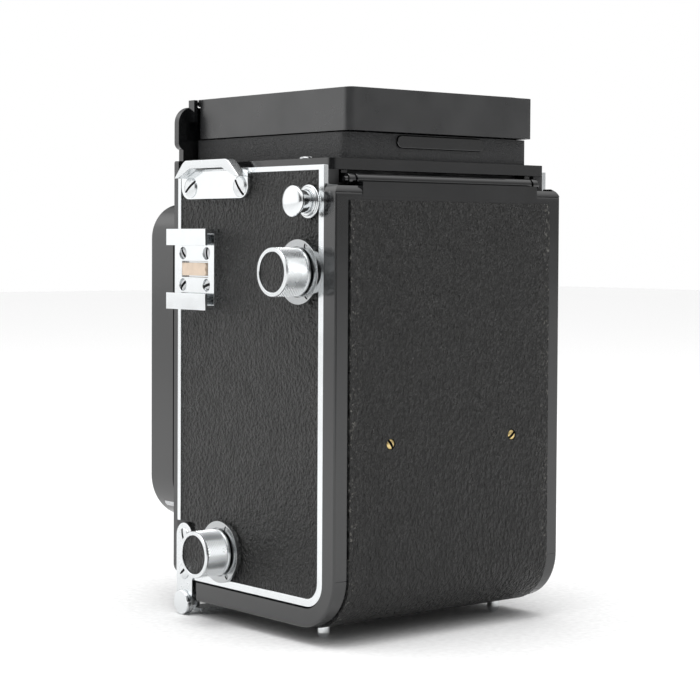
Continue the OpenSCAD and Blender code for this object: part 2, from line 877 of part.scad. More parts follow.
// tubes of the two lenses, from the standard back into the body
module lens_barrels() {
  color(black) {
    difference() {
      union() {
        cy(std_y1, -28, 0, take_z, 18);
        cy(std_y0 - 3, std_y1 + 1, 0, take_z, 17);
        cy(std_y0 - 13, std_y0 - 2, 0, take_z, 13.5);
      }
      cy(-80, 0, 0, take_z, 12);
    }
    difference() {
      union() {
        cy(std_y1, -28, 0, view_z, 15);
        cy(std_y0 - 8, std_y1 + 1, 0, view_z, 14);
        cy(std_y0, std_y0 + 1, 0, view_z, 14);
      }
      cy(-80, 0, 0, view_z, 12);
    }
  }
}

module lens_glasses() {
  color([0.6, 0.65, 0.8, 0.4]) {
    for (p = [[take_z, std_y0 - 9], [view_z, std_y0 - 5]]) {
      intersection() {
        cy(p[1] - 1.5, p[1] + 5, 0, p[0], 12);
        translate([0, p[1] + 25, p[0]]) sphere(26.5);
      }
      cy(-38, -34.5, 0, p[0], 12);
    }
  }
}

module shutter_housing() {
  color(black) difference() {
    union() {
      cy(std_y0 - 5, std_y0, 0, take_z, 25);
    }
    cy(std_y0 - 6, std_y0 + 1, 0, take_z, 17);
    cy(std_y0 - 6, std_y0 - 3, 0, take_z, 20);
  }
}

module bayonet_rings() {
  color(silver) {
    difference() {
      cy(std_y0 - 13, std_y0 - 10, 0, take_z, 15);
      cy(std_y0 - 14, std_y0 - 9, 0, take_z, 13.5);
    }
    difference() {
      cy(std_y0 - 8, std_y0 - 5, 0, view_z, 15.2);
      cy(std_y0 - 9, std_y0 - 4, 0, view_z, 14);
    }
  }
}

module speed_ring() {
  color(silver) difference() {
    union() {
      cy(std_y0 - 8, std_y0 - 5.4, 0, take_z, 19.6);
      cy(std_y0 - 6, std_y0 - 3.4, 0, take_z, 19.6);
      translate([-1.5, std_y0 - 8, take_z + 18]) cube([3, 2.6, 5]);
    }
    cy(std_y0 - 9, std_y0, 0, take_z, 17.4);
    cy(std_y0 - 9, std_y0 - 5, 0, take_z, 14);
  }
}

module lever(a, y0, r, l) {
  translate([0, 0, take_z]) rotate([0, a, 0]) {
    translate([-1.6, y0, r]) cube([3.2, 1.2, l]);
    translate([-1.6, y0 - 3, r + l - 1.2]) cube([3.2, 4.2, 1.2]);
  }
}
module aperture_lever() {
  color(silver) {
    difference() {
      cy(std_y0 - 9.5, std_y0 - 8.35, 0, take_z, 17);
      cy(std_y0 - 10, std_y0 - 8, 0, take_z, 13.5 + fit);
    }
    translate([0, 0, take_z]) rotate([0, -110, 0]) translate([-1.5, std_y0 - 9.5, 16.5]) cube([3, 1.15, 9]);
  }
}
module cocking_lever() {
  color(silver) {
    difference() {
      union() {
        cy(std_y0 - 2.6, std_y0 - 0.4, 28.6, take_z + 4, 2.4);
        translate([27.4, std_y0 - 1.6, take_z + 5]) cube([2.4, 1.2, 9]);
        translate([27.4, std_y0 - 4.6, take_z + 13]) cube([2.4, 4.2, 1.4]);
      }
      cy(std_y0 - 8, std_y0 + 1, 28.6, take_z + 4, 1 + fit);
    }
  }
}
module release_lever() {
  color(silver) {
    difference() {
      union() {
        cy(std_y0 - 2.6, std_y0 - 0.4, -28.6, take_z - 6, 2.4);
        translate([-knuckle_x, std_y0 - 1.6, take_z - 16]) cube([2.4, 1.2, 9]);
        translate([-knuckle_x, std_y0 - 4.6, take_z - 16]) cube([2.4, 4.2, 1.4]);
      }
      cy(std_y0 - 8, std_y0 + 1, -28.6, take_z - 6, 1 + fit);
    }
  }
}

module hood_lid() {
  color(black) {
    difference() {
      az(lid_z0, lid_z1) rr(-lid_hw, -34.9, lid_hw, lid_y1, 2.5);
      az(lid_z0 - 1, lid_z1 - 1) rr(-lid_hw + 1, -34.4, lid_hw - 1, lid_y1 - 1, 1.5);
      az(lid_z0 - 1, lid_z1 - 1.8) rc(-40, -40, 40, -32.2);
      both() cx(lid_pin_x - 0.1, lid_hw + 1, lid_ax_y, lid_ax_z, lid_pin_r + fit);
    }
    az(lid_z1 - e, lid_z1 + 0.4) rr(-28.6, -29, 28.6, 28, 1.5);
    // ears of the magnifier arm
    difference() {
      for (x = [-9.6, 8.4]) {
        translate([x, -5.6, 128.9]) cube([1.2, 3.4, 5.1]);
      }
      cx(-20, 20, -3.9, 130.6, 0.6 + fit);
    }
  }
}

// side leaf, lying flat, mitred at the rear and cut back at the front
module side_leaf() {
  difference() {
    union() {
      az(leaf_z - 0.3, leaf_z + 0.3) polygon([[leaf_x, -29.5], [leaf_x, 22.6], [leaf_x - 3.6, 20.8],
        [leaf_x - leaf_h, leaf_y - leaf_h - 1.4], [leaf_x - leaf_h, -14], [leaf_x - 7, -29.5]]);
      cy(-29.5, 22.6, leaf_x, leaf_z, 1.05);
    }
    cy(-40, 40, leaf_x, leaf_z, 0.55 + fit);
  }
}
module left_leaf() {
  color(black) side_leaf();
}
module right_leaf() {
  color(black) mirror([1, 0, 0]) side_leaf();
}
module rear_leaf() {
  color(black) difference() {
    union() {
      az(leaf_z - 0.3, leaf_z + 0.3) polygon([[-22.6, leaf_y], [22.6, leaf_y], [22.6, leaf_y - 4.4],
        [0.6, leaf_y - leaf_h + 0.6], [-0.6, leaf_y - leaf_h + 0.6], [-22.6, leaf_y - 4.4]]);
      cx(-22.6, 22.6, leaf_y, leaf_z, 1.05);
    }
    cx(-40, 40, leaf_y, leaf_z, 0.55 + fit);
  }
}

module magnifier_arm() {
  color(black) {
    cx(-10, 10, -3.9, 130.6, 0.6);
    difference() {
      union() {
        az(130, 131.2) rc(-8, -4.5, 8, 6);
        az(129.6, 131.6) translate([0, 14]) circle(10.8);
      }
      cz(128, 134, 0, 14, 9.6);
    }
  }
}
module magnifier_glass() {
  color([0.8, 0.85, 0.9, 0.4]) cz(129.8, 131.4, 0, 14, 9.6);
}

module hood_latch() {
  color(black) {
    ay(hood_y1 - 2.6, hood_y1 + 0.5) rr(-14.8, deck_z + 3.1, 14.8, deck_z + 6.2, 1.54);
    ay(hood_y1 - 3.2, hood_y1 - 2.2) rc(-13, deck_z + 3.3, 13, deck_z + 6);
  }
}

body_casting();
front_plate();
top_plate();
side_trim_frames();
side_leatherettes();
knob_flanges();
flange_screws();
button_flange();
strap_lug_plates();
strap_bails();
strap_lug_screws();
accessory_shoe();
shoe_spring();
shoe_screws();
latch_brackets();
bracket_screws();
latch_pins();
door_hinge_pin();
reflex_mirror();
focusing_screen();
screen_frame();
hood_base();
deck_screws();
back_cover();
back_leatherette();
pressure_plate();
back_screws();
rear_feet();
tripod_socket();
latch_bail();
upper_spool_pin();
upper_knob();
upper_knob_inlay();
lower_spool_pin();
lower_knob();
lower_knob_inlay();
mushroom_button();
take_up_spool();
supply_spool();
upper_film_roller();
lower_film_roller();
wind_knob();
focus_knob();
lens_standard();
standard_rods();
lens_barrels();
lens_glasses();
shutter_housing();
bayonet_rings();
speed_ring();
aperture_lever();
cocking_lever();
release_lever();
hood_lid();
left_leaf();
right_leaf();
rear_leaf();
magnifier_arm();
magnifier_glass();
hood_latch();
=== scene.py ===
"""Twin lens reflex camera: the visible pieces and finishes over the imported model."""

import math

import bpy
from bpy.props import FloatProperty, FloatVectorProperty, IntProperty, PointerProperty
from mathutils import Matrix, Vector


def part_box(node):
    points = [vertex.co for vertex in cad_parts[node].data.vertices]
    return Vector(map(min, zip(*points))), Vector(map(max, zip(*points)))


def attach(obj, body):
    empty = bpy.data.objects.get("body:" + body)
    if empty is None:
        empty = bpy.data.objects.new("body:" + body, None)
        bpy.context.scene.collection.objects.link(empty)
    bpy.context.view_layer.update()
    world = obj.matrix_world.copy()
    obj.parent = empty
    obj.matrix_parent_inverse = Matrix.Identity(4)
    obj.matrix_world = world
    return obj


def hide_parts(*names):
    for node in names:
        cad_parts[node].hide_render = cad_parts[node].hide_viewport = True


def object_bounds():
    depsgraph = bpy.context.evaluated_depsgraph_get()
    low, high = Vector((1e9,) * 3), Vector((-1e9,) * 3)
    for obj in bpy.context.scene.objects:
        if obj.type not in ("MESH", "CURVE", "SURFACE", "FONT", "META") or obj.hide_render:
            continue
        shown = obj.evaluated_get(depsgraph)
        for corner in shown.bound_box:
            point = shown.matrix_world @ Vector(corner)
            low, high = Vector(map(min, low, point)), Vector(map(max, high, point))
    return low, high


bl_info = {
    "name": "Twin Lens Reflex Camera",
    "version": (1, 0, 0),
    "blender": (4, 5, 0),
    "location": "3D View > Sidebar > Reflex",
    "description": "Builds the pieces and finishes of a twin lens reflex camera",
    "category": "Add Mesh",
}

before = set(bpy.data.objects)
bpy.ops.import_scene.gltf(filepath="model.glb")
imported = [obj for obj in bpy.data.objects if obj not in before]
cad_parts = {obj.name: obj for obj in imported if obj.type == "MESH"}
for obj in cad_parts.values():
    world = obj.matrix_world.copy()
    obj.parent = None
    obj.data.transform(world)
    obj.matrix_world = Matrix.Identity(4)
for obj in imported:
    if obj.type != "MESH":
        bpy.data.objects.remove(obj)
CAD_LOW, CAD_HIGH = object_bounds()
MM = 0.001

# The door: its sheet, its side flanges, its skin and how it turns into the bottom.
DOOR_SHEET = 0.95 * MM
DOOR_SIDE = 1.8 * MM
DOOR_SKIN = 0.55 * MM
DOOR_TURN = 13.45 * MM
DOOR_ABOVE_SKIN = 4.3 * MM
DOOR_BEFORE_SKIN = 0.6 * MM
# The corner and the free gap of the opening that clears the side trims.
TRIM_TURN = 6.85 * MM
FREE_GAP = 0.35 * MM
# The door's hinge line, and its knuckle's half length and radii in mm.
HINGE_Y = 31 * MM
HINGE_Z = 112.2 * MM
KNUCKLE_HALF = 29.8
KNUCKLE_BORE = 0.86
KNUCKLE_RADIUS = 1.5
# The viewpoint: where it stands, how it is turned, its focal length and its shift.
VIEW_PLACE = (0.336685, 0.404358, 0.096525)
VIEW_YAW, VIEW_PITCH, VIEW_ROLL = -2.4554, -0.034, 0.0053
VIEW_LENS = 100.92
VIEW_SHIFT = -0.0575
# The lamp over the set: where it hangs, its width and its power in watts.
LAMP_PLACE = (0.15, 0.1, 1.1)
LAMP_AIM = Vector((0, 0, 0.06))
LAMP_SIZE = 0.8
LAMP_POWER = 6.0
FLOOR_SIZE = 6


# ---------------------------------------------------------------- sizes and colours


class ReflexSizes(bpy.types.PropertyGroup):
    """Sizes that a maker would change."""

    edge: FloatProperty(name="Edge break", description="Rounding on a machined edge", default=0.16 * MM,
                        unit="LENGTH", precision=5)
    sheet_edge: FloatProperty(name="Sheet edge", description="Rounding on pressed and enamelled sheet",
                              default=0.45 * MM, unit="LENGTH", precision=5)
    door_round: FloatProperty(name="Door rounding",
                              description="Rounding where the back turns into its sides",
                              default=1.2 * MM, unit="LENGTH", precision=5)
    door_corner: FloatProperty(name="Door corner", description="Radius of the back's top corners",
                               default=3.0 * MM, unit="LENGTH", precision=5)
    lid_corner: FloatProperty(name="Lid corner", description="Radius of the lid's upright corners",
                              default=2.5 * MM, unit="LENGTH", precision=5)
    lid_round: FloatProperty(name="Lid rounding", description="Rounding round the lid's top",
                             default=1.6 * MM, unit="LENGTH", precision=5)
    knurl_columns: IntProperty(name="Knurl columns", description="Points round a knurled knob", default=96)
    knurl_depth: FloatProperty(name="Knurl depth", description="Height of one knurled point",
                               default=0.3 * MM, unit="LENGTH", precision=5)
    slot_width: FloatProperty(name="Slot width", description="Width of a screw's slot", default=0.72 * MM,
                              unit="LENGTH", precision=5)
    grain: FloatProperty(name="Leather grain", description="Size of one grain of the leather",
                         default=1.1 * MM, unit="LENGTH", precision=5)


class ReflexColours(bpy.types.PropertyGroup):
    """Colours that a maker would change."""

    leather: FloatVectorProperty(name="Leather", description="Colour of the leather", size=3,
                                 subtype="COLOR", default=(0.0085, 0.0085, 0.0078), min=0, max=1)
    enamel: FloatVectorProperty(name="Enamel", description="Colour of the black enamel", size=3,
                                subtype="COLOR", default=(0.004, 0.0042, 0.0045), min=0, max=1)
    chrome: FloatVectorProperty(name="Chrome", description="Colour of the satin chrome", size=3,
                                subtype="COLOR", default=(0.74, 0.76, 0.77), min=0, max=1)
    brass: FloatVectorProperty(name="Brass", description="Colour of the bare brass", size=3,
                               subtype="COLOR", default=(0.78, 0.60, 0.27), min=0, max=1)
    leaf: FloatVectorProperty(name="Shoe leaf", description="Colour of the leaf in the shoe", size=3,
                              subtype="COLOR", default=(0.80, 0.64, 0.50), min=0, max=1)


def sizes():
    """The sizes set on the scene."""
    return bpy.context.scene.reflex_sizes


def colours():
    """The colours set on the scene."""
    return bpy.context.scene.reflex_colours


# ---------------------------------------------------------------- modelling by hand


def settle():
    """Back to object mode with nothing selected."""
    active = bpy.context.view_layer.objects.active
    if active and active.mode != "OBJECT":
        bpy.ops.object.mode_set(mode="OBJECT")
    bpy.ops.object.select_all(action="DESELECT")


def only(piece):
    """Only this piece selected and active."""
    settle()
    piece.select_set(True)
    bpy.context.view_layer.objects.active = piece
    return piece


def rest(piece):
    """Puts the piece's place, turn and scale into its mesh."""
    only(piece)
    bpy.ops.object.transform_apply(location=True, rotation=True, scale=True)
    return piece


def block(name, low, high):
    """A box between two corners, ready to be shaped."""
    settle()
    low, high = Vector(low), Vector(high)
    bpy.ops.mesh.primitive_cube_add(size=1, location=(low + high) / 2, scale=high - low)
    piece = bpy.context.object
    piece.name = name
    return rest(piece)


def pick(piece, kind, test):
    """Edit mode with the vertices, edges or faces chosen whose points all pass the test."""
    only(piece)
    bpy.ops.object.mode_set(mode="EDIT")
    bpy.ops.mesh.select_mode(type=kind)
    bpy.ops.mesh.select_all(action="DESELECT")
    bpy.ops.object.mode_set(mode="OBJECT")
    mesh = piece.data
    if kind == "VERT":
        for vertex in mesh.vertices:
            vertex.select = test(vertex.co)
    else:
        parts = mesh.edges if kind == "EDGE" else mesh.polygons
        for part in parts:
            part.select = test([mesh.vertices[i].co for i in part.vertices])
    bpy.ops.object.mode_set(mode="EDIT")


def round_edges(piece, width, steps, test):
    """Rounds the edges that the test picks."""
    pick(piece, "EDGE", test)
    bpy.ops.mesh.bevel(offset=width, segments=steps, affect="EDGES", clamp_overlap=True)
    bpy.ops.object.mode_set(mode="OBJECT")


def modify(piece, kind, **settings):
    """Adds a modifier and applies it."""
    only(piece)
    bpy.ops.object.modifier_add(type=kind)
    modifier = piece.modifiers[-1]
    for key, value in settings.items():
        setattr(modifier, key, value)
    bpy.ops.object.modifier_apply(modifier=modifier.name)
    return piece


def soften(piece, width, steps=2, angle=32):
    """Breaks every sharp edge by the width."""
    return modify(piece, "BEVEL", width=width, segments=steps, limit_method="ANGLE",
                  angle_limit=math.radians(angle), miter_outer="MITER_ARC", use_clamp_overlap=True)


def carve(piece, cutter):
    """Cuts the cutter out of the piece and throws the cutter away."""
    modify(piece, "BOOLEAN", operation="DIFFERENCE", solver="EXACT", object=cutter)
    bpy.data.objects.remove(cutter)
    return piece


def merge(piece):
    """Joins loose corners and turns the faces outward."""
    only(piece)
    bpy.ops.object.mode_set(mode="EDIT")
    bpy.ops.mesh.select_all(action="SELECT")
    bpy.ops.mesh.remove_doubles(threshold=2e-6)
    bpy.ops.mesh.normals_make_consistent(inside=False)
    bpy.ops.object.mode_set(mode="OBJECT")
    return piece


def join(name, pieces):
    """Makes one object of several pieces."""
    settle()
    for piece in pieces:
        piece.select_set(True)
    bpy.context.view_layer.objects.active = pieces[0]
    if len(pieces) > 1:
        bpy.ops.object.join()
    pieces[0].name = name
    return pieces[0]


def chain(name, points):
    """An open line of edges through the points, drawn corner by corner."""
    settle()
    bpy.ops.mesh.primitive_plane_add(size=MM, location=points[0])
    piece = bpy.context.object
    piece.name = name
    rest(piece)
    bpy.ops.object.mode_set(mode="EDIT")
    bpy.ops.mesh.select_mode(type="VERT")
    bpy.ops.mesh.select_all(action="SELECT")
    bpy.ops.mesh.merge(type="CENTER")
    for a, b in zip(points, points[1:]):
        bpy.ops.mesh.extrude_vertices_move(TRANSFORM_OT_translate={"value": Vector(b) - Vector(a)})
    bpy.ops.object.mode_set(mode="OBJECT")
    return piece


def turn(name, profile, steps=64):
    """Turns a profile of (radius, height) in mm round the Z axis, as on a lathe."""
    piece = chain(name, [(r * MM, 0, h * MM) for r, h in profile])
    only(piece)
    bpy.ops.object.mode_set(mode="EDIT")
    bpy.ops.mesh.select_all(action="SELECT")
    bpy.ops.mesh.spin(steps=steps, angle=2 * math.pi, center=(0, 0, 0), axis=(0, 0, 1))
    bpy.ops.object.mode_set(mode="OBJECT")
    return merge(piece)


def stand(piece, axis, place):
    """Lays a piece made along Z on its axis, at its place."""
    piece.rotation_mode = "QUATERNION"
    piece.rotation_quaternion = Vector(axis).to_track_quat("Z", "Y")
    piece.location = place
    return rest(piece)


def twin(piece, name, matrix):
    """A copy with a mesh of its own, moved by the matrix."""
    copy = bpy.data.objects.new(name, piece.data.copy())
    bpy.context.collection.objects.link(copy)
    copy.data.transform(matrix)
    return copy


def cad_copy(node):
    """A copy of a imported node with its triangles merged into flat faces."""
    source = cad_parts[node]
    copy = bpy.data.objects.new(node + "_piece", source.data.copy())
    bpy.context.collection.objects.link(copy)
    copy.data.materials.clear()
    only(copy)
    bpy.ops.object.mode_set(mode="EDIT")
    bpy.ops.mesh.select_mode(type="VERT")
    bpy.ops.mesh.select_all(action="SELECT")
    bpy.ops.mesh.remove_doubles(threshold=2e-6)
    bpy.ops.mesh.dissolve_limited(angle_limit=math.radians(0.6))
    bpy.ops.object.mode_set(mode="OBJECT")
    return copy


def solids(node):
    """The (low, high) corners of each separate solid of a node."""
    copy = cad_copy(node)
    only(copy)
    bpy.ops.mesh.separate(type="LOOSE")
    found = []
    for part in list(bpy.context.selected_objects):
        corners = [v.co for v in part.data.vertices]
        found.append((Vector([min(c[i] for c in corners) for i in range(3)]),
                      Vector([max(c[i] for c in corners) for i in range(3)])))
        bpy.data.objects.remove(part)
    return sorted(found, key=lambda pair: tuple(round(v, 5) for v in pair[0]))


def finished(piece, material, body, slot, *nodes, smooth=38):
    """Gives a piece its finish and its body, and hides the nodes it stands for."""
    only(piece)
    bpy.ops.object.shade_smooth_by_angle(angle=math.radians(smooth))
    modify(piece, "WEIGHTED_NORMAL", keep_sharp=True)
    if piece.data.materials:
        piece.data.materials[0] = material
    else:
        piece.data.materials.append(material)
    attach(piece, body)
    if nodes:
        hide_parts(*nodes)
    return piece


def refined(node, body, material, slot, width, steps=2):
    """A node with its edges broken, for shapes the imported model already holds."""
    piece = cad_copy(node)
    soften(piece, width, steps)
    return finished(piece, material, body, slot, node)


# ---------------------------------------------------------------- finishes


def nodes_of(name, base, roughness, metallic=0.0):
    """A new material with its shader, ready for its pattern."""
    material = bpy.data.materials.new(name)
    material.use_nodes = True
    tree = material.node_tree
    shader = tree.nodes["Principled BSDF"]
    shader.inputs["Base Color"].default_value = (*base, 1)
    shader.inputs["Roughness"].default_value = roughness
    shader.inputs["Metallic"].default_value = metallic
    return material, tree, shader


def add(tree, kind, **values):
    """A node with its values set on its own sockets."""
    node = tree.nodes.new(kind)
    for key, value in values.items():
        if key in node.inputs:
            node.inputs[key].default_value = value
        else:
            setattr(node, key, value)
    return node


def place(tree, turn_degrees=(0, 0, 0), scale=(1000, 1000, 1000)):
    """Object coordinates in mm, turned and stretched for a pattern."""
    coordinates = add(tree, "ShaderNodeTexCoord")
    mapping = add(tree, "ShaderNodeMapping")
    mapping.inputs["Rotation"].default_value = [math.radians(v) for v in turn_degrees]
    mapping.inputs["Scale"].default_value = scale
    tree.links.new(coordinates.outputs["Object"], mapping.inputs["Vector"])
    return mapping.outputs["Vector"]


def noise(tree, vector, scale, detail=2.0, distortion=0.0):
    """A noise pattern's value, between 0 and 1."""
    node = add(tree, "ShaderNodeTexNoise", Scale=scale, Detail=detail, Distortion=distortion)
    tree.links.new(vector, node.inputs["Vector"])
    return node.outputs["Fac"]


def ramp(tree, value, low, high, start, end):
    """Spreads a value between two colours or two numbers."""
    node = add(tree, "ShaderNodeMapRange")
    node.inputs["From Min"].default_value = start
    node.inputs["From Max"].default_value = end
    node.inputs["To Min"].default_value = low
    node.inputs["To Max"].default_value = high
    tree.links.new(value, node.inputs["Value"])
    return node.outputs["Result"]


def tint(tree, value, dark, light):
    """Mixes two colours by a value."""
    node = add(tree, "ShaderNodeMix", data_type="RGBA")
    node.inputs[6].default_value = (*dark, 1)
    node.inputs[7].default_value = (*light, 1)
    tree.links.new(value, node.inputs[0])
    return node.outputs[2]


def relief(tree, shader, height, strength, depth):
    """Raises the surface by the height, without moving it."""
    node = add(tree, "ShaderNodeBump", Strength=strength, Distance=depth)
    tree.links.new(height, node.inputs["Height"])
    tree.links.new(node.outputs["Normal"], shader.inputs["Normal"])


def combine(tree, operation, a, b):
    """One sum on two values, each a number or a socket."""
    node = add(tree, "ShaderNodeMath", operation=operation)
    for socket, value in zip(node.inputs, (a, b)):
        if isinstance(value, (int, float)):
            socket.default_value = value
        else:
            tree.links.new(value, socket)
    return node.outputs[0]


def leather(name, stretch, slant, painted_light_lift, dust=None):
    """Pressed black leather: grains parted by fine creases, with pale dust where it is rubbed."""
    # The leather colour scaled by this factor: painted light above 1, painted shade below 1.
    base = Vector(colours().leather) * painted_light_lift
    material, tree, shader = nodes_of(name, base, 0.44)
    shader.inputs["Specular IOR Level"].default_value = 0.42
    vector = place(tree, slant, tuple(1000 * v for v in stretch))
    grain = add(tree, "ShaderNodeTexVoronoi", feature="SMOOTH_F1", Scale=MM / sizes().grain,
                Smoothness=0.25, Randomness=1.0)
    wander = add(tree, "ShaderNodeVectorMath", operation="MULTIPLY_ADD")
    drift = add(tree, "ShaderNodeTexNoise", Scale=0.8, Detail=3.0)
    tree.links.new(vector, drift.inputs["Vector"])
    tree.links.new(drift.outputs["Color"], wander.inputs[0])
    wander.inputs[1].default_value = (2.2, 2.2, 2.2)
    tree.links.new(vector, wander.inputs[2])
    tree.links.new(wander.outputs[0], grain.inputs["Vector"])
    hill = ramp(tree, grain.outputs["Distance"], 1.0, 0.0, 0.08, 0.7)
    pores = noise(tree, vector, 1.5, 3.0, 0.5)
    height = combine(tree, "ADD", hill, combine(tree, "MULTIPLY", pores, 0.9))
    # Darker in the creases between grains and lighter on the grain tops: painted shade and painted highlight.
    colour = tint(tree, hill, base * 0.4, base * 1.4)
    if dust:
        split = add(tree, "ShaderNodeSeparateXYZ")
        tree.links.new(place(tree), split.inputs[0])
        edge = ramp(tree, combine(tree, "ABSOLUTE", split.outputs[0], 0), 0.0, 1.0, dust - 4.0, dust)
        specks = ramp(tree, noise(tree, place(tree), 1.3, 3.0), 0.0, 1.0, 0.6, 0.68)
        layer = add(tree, "ShaderNodeMix", data_type="RGBA")
        tree.links.new(combine(tree, "MULTIPLY", edge, specks), layer.inputs[0])
        tree.links.new(colour, layer.inputs[6])
        layer.inputs[7].default_value = (0.16, 0.155, 0.14, 1)
        colour = layer.outputs[2]
    tree.links.new(colour, shader.inputs["Base Color"])
    wear = ramp(tree, noise(tree, vector, 0.2, 3.0), 0.26, 0.42, 0.3, 0.7)
    tree.links.new(wear, shader.inputs["Roughness"])
    relief(tree, shader, height, 1.0, 0.75 * MM)
    return material


def enamel(name, roughness, ripple=0.05, brighten=1.0):
    """Baked black enamel: deep gloss with a faint orange peel and a patchy haze."""
    base = Vector(colours().enamel) * brighten
    material, tree, shader = nodes_of(name, base, roughness)
    shader.inputs["Specular IOR Level"].default_value = 0.85
    vector = place(tree)
    peel = noise(tree, vector, 0.7, 2.0)
    haze = noise(tree, vector, 0.09, 4.0)
    tree.links.new(ramp(tree, haze, roughness * 0.8, roughness * 1.35, 0.35, 0.7), shader.inputs["Roughness"])
    tree.links.new(tint(tree, haze, base, base * 1.6), shader.inputs["Base Color"])
    relief(tree, shader, peel, ripple, 0.05 * MM)
    return material


def crackle(name):
    """Wrinkled black paint with tight irregular ridges."""
    base = Vector(colours().enamel) * 2.6
    material, tree, shader = nodes_of(name, base, 0.42)
    vector = place(tree)
    ridges = noise(tree, vector, 1.5, 3.0, 1.6)
    # Darker in the wrinkles' valleys and lighter on their ridges: painted shade and painted highlight.
    tree.links.new(tint(tree, ridges, base * 0.5, base * 1.6), shader.inputs["Base Color"])
    tree.links.new(ramp(tree, ridges, 0.5, 0.32, 0.35, 0.65), shader.inputs["Roughness"])
    relief(tree, shader, ridges, 0.9, 0.35 * MM)
    return material


def metal(name, base, roughness, brushing=(1, 1, 1), grain_lift=0.12):
    """Plated or bare metal with a fine worked grain and slight tarnish."""
    base = Vector(base)
    material, tree, shader = nodes_of(name, base, roughness, 1.0)
    vector = place(tree, (0, 0, 0), tuple(1000 * v for v in brushing))
    fine = noise(tree, vector, 6.0, 3.0)
    stain = noise(tree, vector, 0.25, 4.0)
    tree.links.new(tint(tree, stain, base * 0.86, base), shader.inputs["Base Color"])
    tree.links.new(ramp(tree, stain, roughness * 0.8, roughness * 1.3, 0.3, 0.7), shader.inputs["Roughness"])
    relief(tree, shader, fine, grain_lift, 0.03 * MM)
    return material


def glass(name, coating):
    """Ground and coated lens glass over a dark barrel."""
    material, tree, shader = nodes_of(name, coating, 0.03)
    shader.inputs["Transmission Weight"].default_value = 0.6
    shader.inputs["IOR"].default_value = 1.6
    rim = add(tree, "ShaderNodeLayerWeight", Blend=0.35)
    sheen = tint(tree, rim.outputs["Facing"], coating, Vector(coating) * 3.0)
    tree.links.new(sheen, shader.inputs["Base Color"])
    return material


def plain(name, base, roughness):
    """Painted or moulded surface with a slight mottle."""
    base = Vector(base)
    material, tree, shader = nodes_of(name, base, roughness)
    vector = place(tree)
    mottle = noise(tree, vector, 0.6, 4.0)
    tree.links.new(tint(tree, mottle, base * 0.8, base * 1.1), shader.inputs["Base Color"])
    relief(tree, shader, noise(tree, vector, 4.0), 0.1, 0.04 * MM)
    return material


FINISHES = {}


def mix_finishes():
    """Makes every finish once, for the operators to use."""
    chrome = colours().chrome
    FINISHES.update({
        # One leather colour scaled to 0.9 on the back and 1.25 on the sides and knob discs: darker and
        # lighter copies, painted shade and painted light.
        "back_leather": leather("back_leather", (1.0, 1.0, 0.62), (0, 24, 0), 0.9, dust=34.0),
        "side_leather": leather("side_leather", (1.0, 1.0, 0.9), (18, 0, 0), 1.25),
        "gloss_enamel": enamel("gloss_enamel", 0.13),
        "satin_enamel": enamel("satin_enamel", 0.34, 0.12, 2.2),
        "inner_black": enamel("inner_black", 0.55, 0.1, 2.0),
        "crackle": crackle("crackle"),
        "satin_chrome": metal("satin_chrome", chrome, 0.24),
        # The same chrome darkened to 0.62 for the knob flanges: painted shade.
        "shaded_flange_chrome": metal("shaded_flange_chrome", Vector(chrome) * 0.62, 0.2),
        "bright_chrome": metal("bright_chrome", Vector(chrome) * 1.1, 0.12),
        "trim_chrome": metal("trim_chrome", Vector(chrome) * 1.1, 0.2),
        "brass": metal("brass", colours().brass, 0.3),
        "steel": metal("steel", (0.56, 0.57, 0.58), 0.3),
        "shoe_leaf": plain("shoe_leaf", colours().leaf, 0.38),
        "lens_glass": glass("lens_glass", (0.05, 0.045, 0.09)),
        "screen_glass": plain("screen_glass", (0.62, 0.64, 0.6), 0.55),
        # Near-black fill for the screws' slots: painted shade in the recess.
        "painted_slot_shade": plain("painted_slot_shade", (0.006, 0.006, 0.006), 0.8),
        "mirror": metal("mirror", (0.9, 0.91, 0.92), 0.03, grain_lift=0.0),
    })


# Each card: its direction, its brightness, and the cosines where it is full and where it ends.
CARDS = (
    ((0.65, -0.76, 0.12), 1.25, 0.9, 0.62),
    ((-0.63, 0.77, 0.15), 0.4, 0.88, 0.45),
    ((0.0, 0.0, 1.0), 1.25, 0.8, 0.35),
)
SHADE = 0.08


def surroundings():
    """A white ground seen directly, with cards of unlike brightness for the finishes to mirror."""
    world = bpy.data.worlds.new("studio")
    world.use_nodes = True
    tree = world.node_tree
    tree.nodes["Background"].inputs["Color"].default_value = (1, 1, 1, 1)
    coordinates = add(tree, "ShaderNodeTexCoord")
    total = SHADE
    for direction, brightness, full, end in CARDS:
        facing = add(tree, "ShaderNodeVectorMath", operation="DOT_PRODUCT")
        tree.links.new(coordinates.outputs["Generated"], facing.inputs[0])
        facing.inputs[1].default_value = Vector(direction).normalized()
        card = ramp(tree, facing.outputs["Value"], 0.0, brightness, end, full)
        total = combine(tree, "ADD", total, card)
    seen = add(tree, "ShaderNodeLightPath").outputs["Is Camera Ray"]
    total = combine(tree, "MULTIPLY", total, combine(tree, "SUBTRACT", 1.0, seen))
    tree.links.new(combine(tree, "ADD", total, seen), tree.nodes["Background"].inputs["Strength"])
    return world


# ---------------------------------------------------------------- pieces


